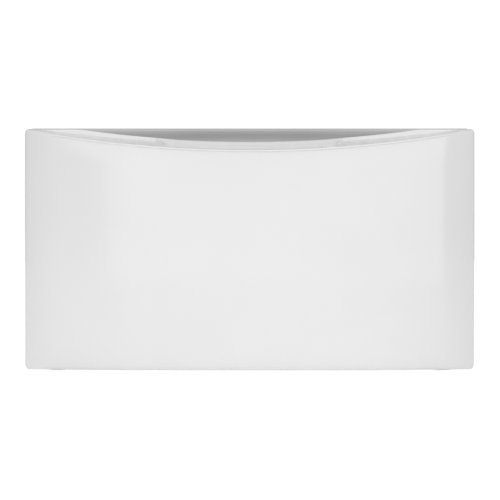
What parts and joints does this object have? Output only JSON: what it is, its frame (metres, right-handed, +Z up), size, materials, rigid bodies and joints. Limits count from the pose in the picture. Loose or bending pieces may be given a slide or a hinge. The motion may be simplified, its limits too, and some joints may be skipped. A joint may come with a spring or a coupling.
{
  "type": "washer pedestal drawer",
  "caption": "Low white steel pedestal cabinet for a laundry machine, with a full-width drawer behind a bowed front and a scooped pull behind its curved rim.",
  "frame": {"origin": "on the floor, under the middle of the whole", "axes": "+X to the right seen from the front, +Y to the back, +Z up; the drawer opens towards -Y"},
  "size_m": [0.686, 0.7, 0.375],
  "materials": {
    "white_enamel": "gloss white enamel",
    "white_plastic": "satin white moulding",
    "grey_enamel": "satin mid grey",
    "zinc_steel": "zinc plated",
    "cage_steel": "plain strip",
    "bearing_steel": "polished",
    "black_rubber": "matt",
    "black_plastic": "matt"
  },
  "bodies": {
    "cabinet": {"slide_outer_left": "zinc_steel", "slide_outer_right": "zinc_steel", "slide_bracket_left": "zinc_steel", "slide_bracket_right": "zinc_steel", "slide_stops": "black_rubber", "side_panel_left": "white_enamel", "side_panel_right": "white_enamel", "back_panel": "white_enamel", "back_screws": "zinc_steel", "top_deck": "white_enamel", "front_top_rail": "grey_enamel", "front_base_rail": "zinc_steel", "rear_base_rail": "zinc_steel", "side_base_rail_left": "zinc_steel", "side_base_rail_right": "zinc_steel", "deck_brace_front": "zinc_steel", "deck_brace_rear": "zinc_steel", "leg_plates": "zinc_steel", "weld_nuts": "zinc_steel", "lock_nuts": "zinc_steel"},
    "drawer": {"front_skin": "white_enamel", "handle_scoop": "white_plastic", "inner_front": "white_enamel", "front_stiffener_left": "zinc_steel", "front_stiffener_right": "zinc_steel", "drawer_bottom": "white_enamel", "drawer_side_left": "white_enamel", "drawer_side_right": "white_enamel", "drawer_back": "white_enamel", "drawer_screws": "zinc_steel", "front_bumpers": "black_rubber", "slide_inner_left": "zinc_steel", "slide_inner_right": "zinc_steel"},
    "middle_left": {"slide_middle_left": "zinc_steel"},
    "cage_outer_left": {"cage_outer_left": "cage_steel", "balls_outer_left": "bearing_steel"},
    "cage_inner_left": {"cage_inner_left": "cage_steel", "balls_inner_left": "bearing_steel"},
    "lever_left": {"release_lever_left": "black_plastic"},
    "middle_right": {"slide_middle_right": "zinc_steel"},
    "cage_outer_right": {"cage_outer_right": "cage_steel", "balls_outer_right": "bearing_steel"},
    "cage_inner_right": {"cage_inner_right": "cage_steel", "balls_inner_right": "bearing_steel"},
    "lever_right": {"release_lever_right": "black_plastic"},
    "foot_front_left": {"pad_front_left": "black_rubber"},
    "stud_front_left": {"stud_front_left": "zinc_steel"},
    "foot_front_right": {"pad_front_right": "black_rubber"},
    "stud_front_right": {"stud_front_right": "zinc_steel"},
    "foot_rear_left": {"pad_rear_left": "black_rubber"},
    "stud_rear_left": {"stud_rear_left": "zinc_steel"},
    "foot_rear_right": {"pad_rear_right": "black_rubber"},
    "stud_rear_right": {"stud_rear_right": "zinc_steel"}
  },
  "joints": [
    {"name": "drawer_slide", "type": "slide", "parent": "cabinet", "child": "drawer", "axis": [0, -1, 0], "range_m": [0, 0.46]},
    {"name": "middle_slide_left", "type": "slide", "parent": "cabinet", "child": "middle_left", "axis": [0, -1, 0], "range_m": [0, 0.23]},
    {"name": "cage_slide_outer_left", "type": "slide", "parent": "cabinet", "child": "cage_outer_left", "axis": [0, -1, 0], "range_m": [0, 0.115]},
    {"name": "cage_slide_inner_left", "type": "slide", "parent": "cabinet", "child": "cage_inner_left", "axis": [0, -1, 0], "range_m": [0, 0.345]},
    {"name": "lever_turn_left", "type": "hinge", "parent": "drawer", "child": "lever_left", "pos_m": [-0.3108, 0.06117, 0.15], "axis": [1, 0, 0], "range_deg": [-6, 6], "stiffness_Nm_per_rad": 0.02},
    {"name": "middle_slide_right", "type": "slide", "parent": "cabinet", "child": "middle_right", "axis": [0, -1, 0], "range_m": [0, 0.23]},
    {"name": "cage_slide_outer_right", "type": "slide", "parent": "cabinet", "child": "cage_outer_right", "axis": [0, -1, 0], "range_m": [0, 0.115]},
    {"name": "cage_slide_inner_right", "type": "slide", "parent": "cabinet", "child": "cage_inner_right", "axis": [0, -1, 0], "range_m": [0, 0.345]},
    {"name": "lever_turn_right", "type": "hinge", "parent": "drawer", "child": "lever_right", "pos_m": [0.3108, 0.06117, 0.15], "axis": [1, 0, 0], "range_deg": [-6, 6], "stiffness_Nm_per_rad": 0.02},
    {"name": "foot_rise_front_left", "type": "slide", "parent": "cabinet", "child": "foot_front_left", "axis": [0, 0, -1], "range_m": [0, 0.009]},
    {"name": "stud_turn_front_left", "type": "hinge", "parent": "foot_front_left", "child": "stud_front_left", "pos_m": [-0.3, -0.21183, 0.03], "axis": [0, 0, -1], "range_deg": [0, 2160]},
    {"name": "foot_rise_front_right", "type": "slide", "parent": "cabinet", "child": "foot_front_right", "axis": [0, 0, -1], "range_m": [0, 0.009]},
    {"name": "stud_turn_front_right", "type": "hinge", "parent": "foot_front_right", "child": "stud_front_right", "pos_m": [0.3, -0.21183, 0.03], "axis": [0, 0, -1], "range_deg": [0, 2160]},
    {"name": "foot_rise_rear_left", "type": "slide", "parent": "cabinet", "child": "foot_rear_left", "axis": [0, 0, -1], "range_m": [0, 0.009]},
    {"name": "stud_turn_rear_left", "type": "hinge", "parent": "foot_rear_left", "child": "stud_rear_left", "pos_m": [-0.3, 0.2954, 0.03], "axis": [0, 0, -1], "range_deg": [0, 2160]},
    {"name": "foot_rise_rear_right", "type": "slide", "parent": "cabinet", "child": "foot_rear_right", "axis": [0, 0, -1], "range_m": [0, 0.009]},
    {"name": "stud_turn_rear_right", "type": "hinge", "parent": "foot_rear_right", "child": "stud_rear_right", "pos_m": [0.3, 0.2954, 0.03], "axis": [0, 0, -1], "range_deg": [0, 2160]}
  ],
  "couplings": [
    {"joint": "middle_slide_left", "follows": "drawer_slide", "ratio": 0.5},
    {"joint": "cage_slide_outer_left", "follows": "drawer_slide", "ratio": 0.25},
    {"joint": "cage_slide_inner_left", "follows": "drawer_slide", "ratio": 0.75},
    {"joint": "middle_slide_right", "follows": "drawer_slide", "ratio": 0.5},
    {"joint": "cage_slide_outer_right", "follows": "drawer_slide", "ratio": 0.25},
    {"joint": "cage_slide_inner_right", "follows": "drawer_slide", "ratio": 0.75},
    {"joint": "stud_turn_front_left", "follows": "foot_rise_front_left", "rad_per_m": 4188.8},
    {"joint": "stud_turn_front_right", "follows": "foot_rise_front_right", "rad_per_m": 4188.8},
    {"joint": "stud_turn_rear_left", "follows": "foot_rise_rear_left", "rad_per_m": 4188.8},
    {"joint": "stud_turn_rear_right", "follows": "foot_rise_rear_right", "rad_per_m": 4188.8}
  ]
}
